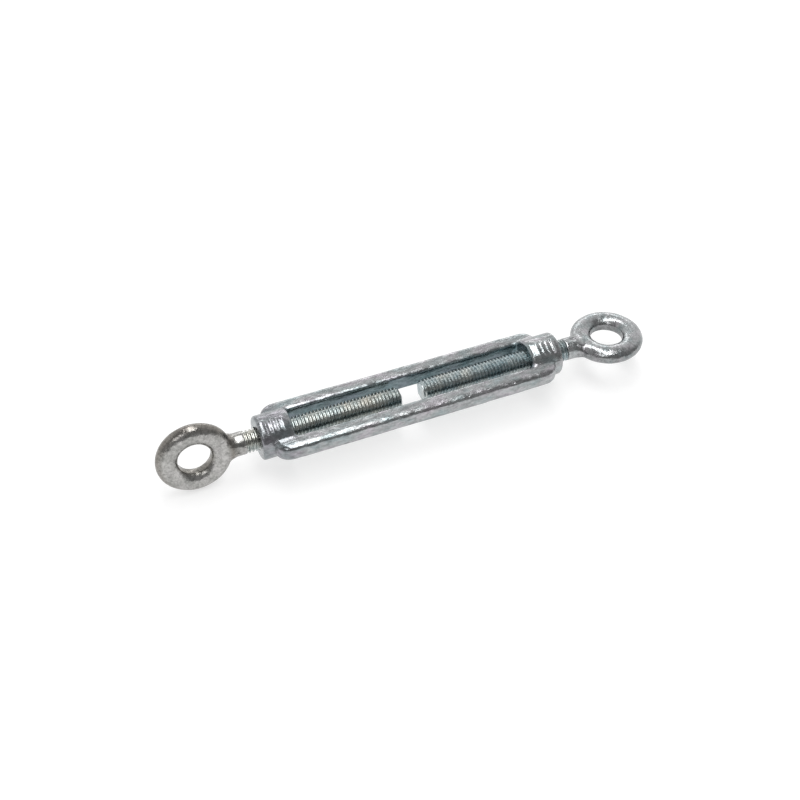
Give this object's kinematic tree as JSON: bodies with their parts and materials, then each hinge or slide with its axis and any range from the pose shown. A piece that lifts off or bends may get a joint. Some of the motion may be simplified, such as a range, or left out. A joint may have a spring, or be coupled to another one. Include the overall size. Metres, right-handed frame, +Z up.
{
  "type": "turnbuckle",
  "caption": "Open-body rigging turnbuckle with a forged eye at each end, let out or drawn in by threads of opposite hand.",
  "frame": {"origin": "centre of the body, on the thread axis, in the gap between the rod ends", "axes": "+X along the thread axis towards the right-hand eyebolt, +Y across the body from leg to leg, +Z up, square to the plane of the legs"},
  "size_m": [0.1785, 0.0258, 0.0258],
  "materials": {
    "zinc_body": "zinc-plated casting, glossy with a slightly uneven skin",
    "zinc_eyebolt": "zinc-plated forging with cut threads"
  },
  "bodies": {
    "body": {"turnbuckle_body": "zinc_body"},
    "right_eyebolt": {"eyebolt_right": "zinc_eyebolt"},
    "left_eyebolt": {"eyebolt_left": "zinc_eyebolt"}
  },
  "joints": [
    {"name": "right_rod_travel", "type": "slide", "parent": "body", "child": "right_eyebolt", "axis": [1, 0, 0], "range_m": [-0.0037, 0.038]},
    {"name": "left_rod_travel", "type": "slide", "parent": "body", "child": "left_eyebolt", "axis": [-1, 0, 0], "range_m": [-0.0037, 0.038]}
  ],
  "couplings": [
    {"joint": "left_rod_travel", "follows": "right_rod_travel", "ratio": 1}
  ]
}
